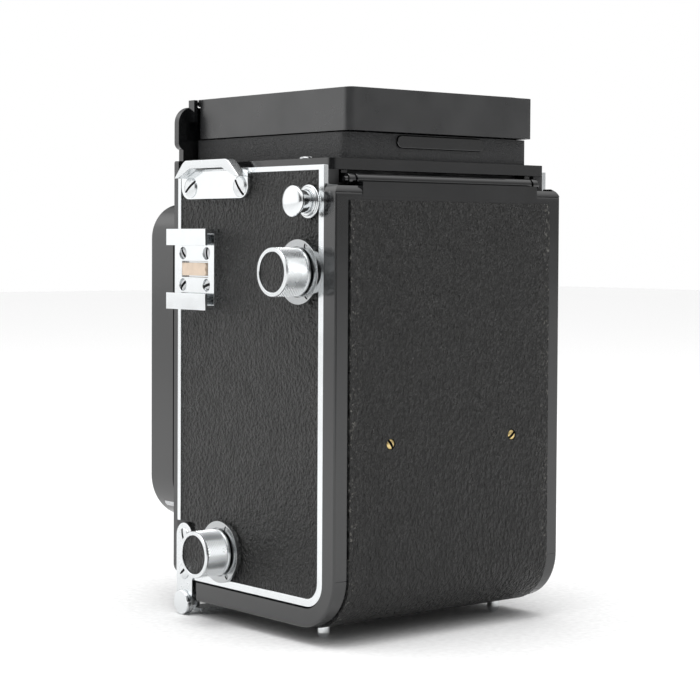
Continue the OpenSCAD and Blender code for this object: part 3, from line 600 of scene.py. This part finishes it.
def screw_set(node, body, finish, slot, angles, dome=0.3):
    """Domed slotted screws where the node's screws are, each with its slot turned."""
    made = []
    boxes = solids(node)
    for number, (low, high) in enumerate(boxes):
        size = high - low
        centre = (low + high) / 2
        spans = [round(v, 6) for v in size]
        alike = min(((abs(spans[(i + 1) % 3] - spans[(i + 2) % 3]), i) for i in range(3)))[1]
        outward = 1 if centre[alike] > 0 else -1
        if node == "flange_screws" or alike == 0:
            alike, outward = 0, (1 if centre.x > 0 else -1)
        axis = Vector((0, 0, 0))
        axis[alike] = outward
        radius = size[(alike + 1) % 3] / 2
        length = size[alike]
        head = min(0.9 * MM, length * 0.6)
        end = Vector(centre)
        end[alike] = high[alike] if outward > 0 else low[alike]
        r, h = radius / MM, head / MM
        profile = [(0, -length / MM), (r * 0.5, -length / MM), (r * 0.5, -h), (r, -h), (r, -h * 0.55)]
        for step in range(1, 6):
            part = math.radians(18 * step)
            profile.append((r * math.cos(part), -h * 0.55 * (1 - math.sin(part)) - 0.02))
        profile[-1] = (0, 0)
        screw = turn(node + "_turned", profile, 40)
        width = min(sizes().slot_width, radius * 0.56)
        deep = -h * 0.8 * MM
        cutter = block("slot", (-2 * radius, -width / 2, deep), (2 * radius, width / 2, MM))
        carve(screw, cutter)
        screw.data.materials.append(FINISHES[finish])
        # The near-black second finish goes on each slot's floor and walls: painted shade in the slot.
        screw.data.materials.append(FINISHES["painted_slot_shade"])
        pick(screw, "FACE", lambda corners: all(abs(c.y) < width / 2 + 1e-6 and c.z > deep - 1e-6
                                                for c in corners))
        screw.active_material_index = 1
        bpy.ops.object.material_slot_assign()
        bpy.ops.object.mode_set(mode="OBJECT")
        screw.rotation_euler = (0, 0, math.radians(angles[number % len(angles)]))
        rest(screw)
        made.append(stand(screw, axis, end))
    piece = join(node + "_piece", made)
    soften(piece, 0.05 * MM, 1, 50)
    return finished(piece, FINISHES[finish], body, slot, node)


def knurled_knob(node, body, slot, columns, outer_radius, x_far, x_near, centre, ring, side):
    """A knurled grip between two smooth end rings, with its face dished for the inlay."""
    low, high = min(x_far, x_near), max(x_far, x_near)
    length = high - low
    depth = sizes().knurl_depth
    band_low, band_high = low + ring, high - ring
    rows = max(6, 2 * round((band_high - band_low) / (2 * math.pi * outer_radius / columns) / 2))
    settle()
    bpy.ops.mesh.primitive_cylinder_add(vertices=columns, radius=outer_radius - depth,
                                        depth=band_high - band_low, end_fill_type="NOTHING")
    grip = bpy.context.object
    grip.name = node + "_grip"
    pick(grip, "EDGE", lambda ends: abs(ends[0].z - ends[1].z) > 0.5 * (band_high - band_low))
    bpy.ops.mesh.subdivide(number_cuts=rows - 1)
    bpy.ops.object.mode_set(mode="OBJECT")
    row_height = (band_high - band_low) / rows
    start = -(band_high - band_low) / 2

    def raised(point):
        """Every second crossing of a row and a column stands up."""
        column = round((math.atan2(point.y, point.x) / (2 * math.pi) + 1) * columns)
        row = round((point.z - start) / row_height)
        return (column + row) % 2 == 0 and 0 < row < rows

    pick(grip, "VERT", raised)
    factor = outer_radius / (outer_radius - depth)
    bpy.ops.transform.resize(value=(factor, factor, 1), center_override=(0, 0, 0))
    bpy.ops.mesh.select_all(action="SELECT")
    bpy.ops.mesh.quads_convert_to_tris(quad_method="SHORTEST_DIAGONAL")
    bpy.ops.object.mode_set(mode="OBJECT")
    r, g = outer_radius / MM, (outer_radius - depth) / MM
    half, full = (band_high - band_low) / 2 / MM, length / 2 / MM
    dish = r - 1.05
    cap = turn(node + "_cap", [(g - 0.02, half), (g, half), (r - 0.1, half + 0.06), (r, half + 0.2),
                               (r, full - 0.25), (r - 0.12, full - 0.06), (r - 0.3, full),
                               (dish + 0.12, full), (dish, full - 0.1), (dish, full - 0.5),
                               (0, full - 0.5)], columns // 2)
    foot = turn(node + "_foot", [(g - 0.02, -half), (g, -half), (r - 0.1, -half - 0.06), (r, -half - 0.2),
                                 (r, -full + 0.15), (r - 0.2, -full), (0, -full)], columns // 2)
    knob = join(node + "_piece", [grip, cap, foot])
    stand(knob, (side, 0, 0), ((low + high) / 2, centre[0], centre[1]))
    return finished(knob, FINISHES["satin_chrome"], body, slot, node, smooth=24)


def leather_disc(node, body, radius, x, centre, side):
    """A leather disc laid in a knob's face, its rim rolled down."""
    r = radius / MM
    profile = [(0, -0.4), (r, -0.4), (r, 0.0), (r - 0.1, 0.1), (r - 0.3, 0.16), (0, 0.18)]
    disc = turn(node + "_piece", profile, 56)
    stand(disc, (side, 0, 0), (x, centre[0], centre[1]))
    stands_for = (node,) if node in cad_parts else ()
    return finished(disc, FINISHES["side_leather"], body, "leather", *stands_for)


def middle(node):
    """(y, z) of a node's centre line."""
    low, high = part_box(node)
    return ((low.y + high.y) / 2, (low.z + high.z) / 2)


class ReflexPiece:
    """What every piece's operator shares."""

    bl_options = {"REGISTER", "UNDO"}


class REFLEX_OT_back_door(ReflexPiece, bpy.types.Operator):
    """Builds the enamelled L-shaped back with its rolled edges and hinge knuckle"""

    bl_idname = "reflex.back_door"
    bl_label = "Back door"

    def execute(self, context):
        low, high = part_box("back_cover")
        thick, side = DOOR_SHEET, DOOR_SIDE
        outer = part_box("back_leatherette")
        sheet_y = outer[1].y - DOOR_SKIN
        sheet_z = outer[0].z + DOOR_SKIN
        top = outer[1].z + DOOR_ABOVE_SKIN
        front = outer[0].y - DOOR_BEFORE_SKIN
        turn_r = DOOR_TURN
        door = block("back_cover_piece", (low.x, front, sheet_z), (high.x, sheet_y, top))
        round_edges(door, turn_r, 18, lambda e: all(abs(p.y - sheet_y) < 1e-6 and abs(p.z - sheet_z) < 1e-6
                                                   for p in e))
        wide = high.x - 1e-6
        corner = sizes().door_corner
        round_edges(door, corner, 8, lambda e: all(abs(p.x) > wide and p.z > top - 1e-6 for p in e))

        def outline(ends):
            """The edges all round the door's outer face, with its rounded corners."""
            centre = (ends[0] + ends[1]) / 2
            if all(p.y > sheet_y - 1e-6 for p in ends) and centre.z > top - corner - 1e-5:
                return True
            return (all(abs(p.x) > wide for p in ends) and centre.z < top - corner - 1e-5
                    and centre.y > front + 1e-5)

        round_edges(door, sizes().door_round, 6, outline)
        inner = block("hollow", (low.x + side, front - MM, sheet_z + thick),
                      (high.x - side, sheet_y - thick, top + MM))
        round_edges(inner, turn_r - thick, 16, lambda e: all(
            abs(p.y - sheet_y + thick) < 1e-6 and abs(p.z - sheet_z - thick) < 1e-6 for p in e))
        carve(door, inner)
        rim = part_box("side_trim_frames")
        gap = FREE_GAP
        window = block("rim_gap", (low.x - MM, front - 2 * MM, rim[0].z - gap),
                       (high.x + MM, rim[1].y + gap, top + 2 * MM))
        round_edges(window, TRIM_TURN, 12, lambda e: all(
            abs(p.y - rim[1].y - gap) < 1e-6 and abs(p.z - rim[0].z + gap) < 1e-6 for p in e))
        carve(door, window)
        hinge = Vector((0, HINGE_Y, HINGE_Z))
        end, shoulder = KNUCKLE_HALF, KNUCKLE_HALF - 0.1
        bore, radius = KNUCKLE_BORE, KNUCKLE_RADIUS
        bar = turn("knuckle", [(bore, -end), (radius - 0.1, -end), (radius, -shoulder), (radius, shoulder),
                               (radius - 0.1, end), (bore, end), (bore, -end)], 32)
        stand(bar, (1, 0, 0), hinge)
        tongue = block("tongue", (-KNUCKLE_HALF * MM, hinge.y + 0.6 * MM, 108 * MM),
                       (KNUCKLE_HALF * MM, sheet_y - 0.02 * MM, hinge.z - 0.6 * MM))
        for x in (-1, 1):
            notch = block("notch", (x * 31.3 * MM - 1.5 * MM, 29 * MM, 110 * MM),
                          (x * 31.3 * MM + 1.5 * MM, 33.2 * MM, 115 * MM))
            carve(door, notch)
        soften(door, 0.22 * MM, 2, 40)
        door = join("back_cover_piece", [door, bar, tongue])
        finished(door, FINISHES["gloss_enamel"], "back_door", "black_enamel", "back_cover")
        skin = cad_copy("back_leatherette")
        skin_low, skin_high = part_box("back_leatherette")
        round_edges(skin, 2 * MM, 6, lambda e: all(abs(p.x) > skin_high.x - 1e-6 and p.z > skin_high.z - 1e-6
                                                   for p in e))
        soften(skin, 0.24 * MM, 3)
        finished(skin, FINISHES["back_leather"], "back_door", "leather", "back_leatherette")
        refined("pressure_plate", "back_door", FINISHES["inner_black"], "black_metal", sizes().edge)
        screw_set("back_screws", "back_door", "brass", "brass", (38, 125))
        refined("rear_feet", "back_door", FINISHES["bright_chrome"], "chrome", 0.5 * MM, 4)
        refined("tripod_socket", "back_door", FINISHES["satin_chrome"], "chrome", 0.2 * MM, 2)
        return {"FINISHED"}


class REFLEX_OT_casting(ReflexPiece, bpy.types.Operator):
    """Builds the body casting, deck, front plate and side skins"""

    bl_idname = "reflex.casting"
    bl_label = "Casting and skins"

    def execute(self, context):
        edge = sizes().edge
        refined("body_casting", "camera", FINISHES["inner_black"], "black_metal", 0.2 * MM)
        refined("front_plate", "camera", FINISHES["gloss_enamel"], "black_enamel", sizes().sheet_edge, 3)
        refined("top_plate", "camera", FINISHES["gloss_enamel"], "black_enamel", 0.75 * MM, 4)
        refined("side_trim_frames", "camera", FINISHES["trim_chrome"], "chrome", 0.3 * MM, 3)
        refined("side_leatherettes", "camera", FINISHES["side_leather"], "leather", 0.18 * MM)
        refined("door_hinge_pin", "camera", FINISHES["gloss_enamel"], "black_enamel", edge)
        refined("reflex_mirror", "camera", FINISHES["mirror"], "mirror", edge)
        refined("focusing_screen", "camera", FINISHES["screen_glass"], "glass", edge)
        refined("screen_frame", "camera", FINISHES["inner_black"], "black_metal", edge)
        screw_set("deck_screws", "camera", "steel", "steel", (30, 100))
        return {"FINISHED"}


class REFLEX_OT_side_fittings(ReflexPiece, bpy.types.Operator):
    """Builds the flanges, lug plates, bails, brackets and pins"""

    bl_idname = "reflex.side_fittings"
    bl_label = "Side fittings"

    def execute(self, context):
        chrome = FINISHES["satin_chrome"]
        refined("knob_flanges", "camera", FINISHES["shaded_flange_chrome"], "chrome", 0.3 * MM, 3)
        refined("button_flange", "camera", chrome, "chrome", 0.28 * MM, 3)
        refined("strap_lug_plates", "camera", FINISHES["bright_chrome"], "chrome", 0.2 * MM, 2)
        refined("strap_bails", "camera", chrome, "chrome", 0.3 * MM, 2)
        refined("latch_brackets", "camera", chrome, "chrome", 0.2 * MM, 2)
        refined("latch_pins", "camera", FINISHES["bright_chrome"], "chrome", 0.35 * MM, 3)
        refined("latch_bail", "door_latch", chrome, "chrome", 0.25 * MM, 2)
        screw_set("flange_screws", "camera", "steel", "steel", (20, 80, 140))
        screw_set("strap_lug_screws", "camera", "satin_chrome", "chrome", (35, -50, 35, -50))
        screw_set("bracket_screws", "camera", "satin_chrome", "chrome", (70, 20, 40, 110))
        return {"FINISHED"}


class REFLEX_OT_shoe(ReflexPiece, bpy.types.Operator):
    """Builds the accessory shoe with its leaf and screws"""

    bl_idname = "reflex.shoe"
    bl_label = "Accessory shoe"

    def execute(self, context):
        refined("accessory_shoe", "camera", FINISHES["bright_chrome"], "chrome", 0.18 * MM, 2)
        refined("shoe_spring", "camera", FINISHES["shoe_leaf"], "steel", 0.15 * MM, 2)
        screw_set("shoe_screws", "camera", "steel", "steel", (40, 130, 15, 95))
        return {"FINISHED"}


class REFLEX_OT_spool_knobs(ReflexPiece, bpy.types.Operator):
    """Builds the two knurled spool knobs, their pins and inlays"""

    bl_idname = "reflex.spool_knobs"
    bl_label = "Spool knobs"

    def execute(self, context):
        for end in ("upper", "lower"):
            low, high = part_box(end + "_knob")
            centre = middle(end + "_knob")
            radius = (high.z - low.z) / 2
            body = end + "_spool_knob"
            knurled_knob(end + "_knob", body, "chrome", sizes().knurl_columns, radius,
                         high.x, low.x, centre, 0.75 * MM, 1)
            leather_disc(end + "_knob_inlay", body, radius - 1.1 * MM, high.x - 0.42 * MM, centre, 1)
            refined(end + "_spool_pin", end + "_pin", FINISHES["steel"], "steel", 0.2 * MM)
        return {"FINISHED"}


class REFLEX_OT_right_knobs(ReflexPiece, bpy.types.Operator):
    """Builds the winding and focusing knobs on the right side"""

    bl_idname = "reflex.right_knobs"
    bl_label = "Winding and focusing knobs"

    def execute(self, context):
        for node, body in (("wind_knob", "winder"), ("focus_knob", "focus")):
            low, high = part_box(node)
            centre = middle(node)
            radius = (high.z - low.z) / 2
            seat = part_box("knob_flanges")[0].x - 0.3 * MM
            columns = 2 * round(radius / (6.1 * MM) * sizes().knurl_columns / 2)
            shaft = turn(node + "_shaft", [(0, 0), (2.4, 0), (2.4, 6), (0, 6)], 32)
            stand(shaft, (1, 0, 0), (seat - 1.0 * MM, centre[0], centre[1]))
            finished(shaft, FINISHES["steel"], body, "steel")
            ring = min(0.9 * MM, 0.22 * abs(low.x - seat))
            knurled_knob(node, body, "chrome", min(columns, 240), radius, low.x, seat, centre, ring, -1)
            leather_disc(node + "_disc", body, radius - 1.1 * MM, low.x + 0.42 * MM, centre, -1)
        return {"FINISHED"}


class REFLEX_OT_button(ReflexPiece, bpy.types.Operator):
    """Builds the domed mushroom button"""

    bl_idname = "reflex.button"
    bl_label = "Mushroom button"

    def execute(self, context):
        low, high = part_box("mushroom_button")
        centre = middle("mushroom_button")
        r = (high.z - low.z) / 2 / MM
        length = (high.x - low.x) / MM
        profile = [(0, 0), (2.8, 0), (2.8, length - 1.9), (r - 0.5, length - 1.9), (r - 0.12, length - 1.78),
                   (r, length - 1.5), (r, length - 0.85)]
        for step in range(1, 7):
            part = math.radians(15 * step)
            profile.append((r * math.cos(part), length - 0.85 + 0.85 * math.sin(part)))
        profile[-1] = (0, length)
        button = turn("mushroom_button_piece", profile, 64)
        stand(button, (1, 0, 0), (low.x, centre[0], centre[1]))
        finished(button, FINISHES["bright_chrome"], "film_release", "chrome", "mushroom_button")
        return {"FINISHED"}


class REFLEX_OT_film_path(ReflexPiece, bpy.types.Operator):
    """Builds the spools and rollers inside the film chamber"""

    bl_idname = "reflex.film_path"
    bl_label = "Film path"

    def execute(self, context):
        for node, body in (("take_up_spool", "take_up"), ("supply_spool", "supply")):
            refined(node, body, FINISHES["inner_black"], "black_metal", 0.25 * MM)
        for end in ("upper", "lower"):
            refined(end + "_film_roller", end + "_roller", FINISHES["steel"], "steel", 0.2 * MM)
        return {"FINISHED"}


class REFLEX_OT_lenses(ReflexPiece, bpy.types.Operator):
    """Builds the lens standard, barrels, rings, levers and glasses"""

    bl_idname = "reflex.lenses"
    bl_label = "Lens standard"

    def execute(self, context):
        refined("lens_standard", "standard", FINISHES["gloss_enamel"], "black_enamel", 1.1 * MM, 5)
        refined("standard_rods", "standard", FINISHES["steel"], "steel", 0.15 * MM)
        refined("lens_barrels", "standard", FINISHES["inner_black"], "black_metal", 0.3 * MM, 3)
        refined("shutter_housing", "standard", FINISHES["crackle"], "crackle", 0.6 * MM, 3)
        refined("bayonet_rings", "standard", FINISHES["bright_chrome"], "chrome", 0.3 * MM, 3)
        refined("lens_glasses", "standard", FINISHES["lens_glass"], "glass", 0.1 * MM)
        refined("speed_ring", "speed", FINISHES["satin_chrome"], "chrome", 0.25 * MM, 2)
        refined("aperture_lever", "aperture", FINISHES["satin_chrome"], "chrome", 0.2 * MM, 2)
        refined("cocking_lever", "cocking", FINISHES["satin_chrome"], "chrome", 0.2 * MM, 2)
        refined("release_lever", "release", FINISHES["satin_chrome"], "chrome", 0.2 * MM, 2)
        return {"FINISHED"}


class REFLEX_OT_hood(ReflexPiece, bpy.types.Operator):
    """Builds the hood walls, lid, folding leaves and magnifier"""

    bl_idname = "reflex.hood"
    bl_label = "Focusing hood"

    def execute(self, context):
        refined("hood_base", "camera", FINISHES["crackle"], "crackle", 0.3 * MM, 2)
        lid = cad_copy("hood_lid")
        low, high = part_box("hood_lid")
        round_edges(lid, sizes().lid_corner, 8, lambda e: all(
            abs(p.x) > high.x - 1e-6 and p.y > high.y - 1e-6 for p in e))
        inset = sizes().lid_corner + 1e-5
        round_edges(lid, sizes().lid_round, 6, lambda e: all(p.z > high.z - 1e-6 for p in e) and (
            all(abs(p.x) > high.x - 1e-6 for p in e) or all(p.y > high.y - 1e-6 for p in e)
            or all(abs(p.x) > high.x - inset and p.y > high.y - inset for p in e)))
        soften(lid, 0.2 * MM, 2, 40)
        finished(lid, FINISHES["satin_enamel"], "lid", "black_enamel", "hood_lid")
        refined("hood_latch", "lid_latch", FINISHES["gloss_enamel"], "black_enamel", 0.6 * MM, 4)
        for side in ("left", "right", "rear"):
            refined(side + "_leaf", "leaf_" + side, FINISHES["satin_enamel"], "black_enamel", 0.15 * MM)
        refined("magnifier_arm", "magnifier", FINISHES["satin_enamel"], "black_enamel", 0.15 * MM)
        refined("magnifier_glass", "magnifier", FINISHES["lens_glass"], "glass", 0.1 * MM)
        return {"FINISHED"}


class REFLEX_OT_stage(ReflexPiece, bpy.types.Operator):
    """Sets the pale floor, the soft lights and the camera"""

    bl_idname = "reflex.stage"
    bl_label = "Stage"

    def execute(self, context):
        scene = context.scene
        floor_z = CAD_LOW.z
        settle()
        bpy.ops.mesh.primitive_plane_add(size=FLOOR_SIZE, location=(0, 0, floor_z))
        floor = bpy.context.object
        floor.name = "floor"
        rest(floor)
        floor.data.materials.append(plain("floor_paper", (0.94, 0.94, 0.94), 0.8))
        scene.world = surroundings()
        light = bpy.data.lights.new("top_bank", "AREA")
        light.size = LAMP_SIZE
        light.energy = LAMP_POWER
        lamp = bpy.data.objects.new("top_bank", light)
        scene.collection.objects.link(lamp)
        lamp.location = LAMP_PLACE
        lamp.rotation_mode = "QUATERNION"
        lamp.rotation_quaternion = (Vector(LAMP_PLACE) - LAMP_AIM).to_track_quat("Z", "Y")
        yaw, pitch, roll = VIEW_YAW, VIEW_PITCH, VIEW_ROLL
        forward = Vector((math.sin(yaw) * math.cos(pitch), math.cos(yaw) * math.cos(pitch), math.sin(pitch)))
        right = forward.cross(Vector((0, 0, 1))).normalized()
        up = right.cross(forward)
        across = right * math.cos(roll) + up * math.sin(roll)
        above = up * math.cos(roll) - right * math.sin(roll)
        lens = bpy.data.cameras.new("viewpoint")
        lens.sensor_width = 36
        lens.lens = VIEW_LENS
        lens.shift_y = VIEW_SHIFT
        camera = bpy.data.objects.new("viewpoint", lens)
        scene.collection.objects.link(camera)
        turned = Matrix((across, above, -forward)).transposed().to_4x4()
        camera.matrix_world = Matrix.Translation(VIEW_PLACE) @ turned
        scene.camera = camera
        scene.view_settings.view_transform = "Standard"
        return {"FINISHED"}


class REFLEX_PT_panel(bpy.types.Panel):
    """Lists the camera's pieces in the sidebar"""

    bl_label = "Twin lens reflex"
    bl_space_type = "VIEW_3D"
    bl_region_type = "UI"
    bl_category = "Reflex"

    def draw(self, context):
        for operator in OPERATORS:
            self.layout.operator(operator.bl_idname)
        for group in (context.scene.reflex_sizes, context.scene.reflex_colours):
            for name in group.__annotations__:
                self.layout.prop(group, name)


OPERATORS = (REFLEX_OT_casting, REFLEX_OT_back_door, REFLEX_OT_side_fittings, REFLEX_OT_shoe,
             REFLEX_OT_spool_knobs, REFLEX_OT_right_knobs, REFLEX_OT_button, REFLEX_OT_film_path,
             REFLEX_OT_lenses, REFLEX_OT_hood, REFLEX_OT_stage)
CLASSES = (ReflexSizes, ReflexColours) + OPERATORS + (REFLEX_PT_panel,)


def register():
    for item in CLASSES:
        bpy.utils.register_class(item)
    bpy.types.Scene.reflex_sizes = PointerProperty(type=ReflexSizes)
    bpy.types.Scene.reflex_colours = PointerProperty(type=ReflexColours)


def unregister():
    del bpy.types.Scene.reflex_colours
    del bpy.types.Scene.reflex_sizes
    for item in reversed(CLASSES):
        bpy.utils.unregister_class(item)


def main():
    """Builds every piece in order."""
    register()
    mix_finishes()
    for operator in OPERATORS:
        group, name = operator.bl_idname.split(".")
        getattr(getattr(bpy.ops, group), name)()


if __name__ == "__main__":
    main()
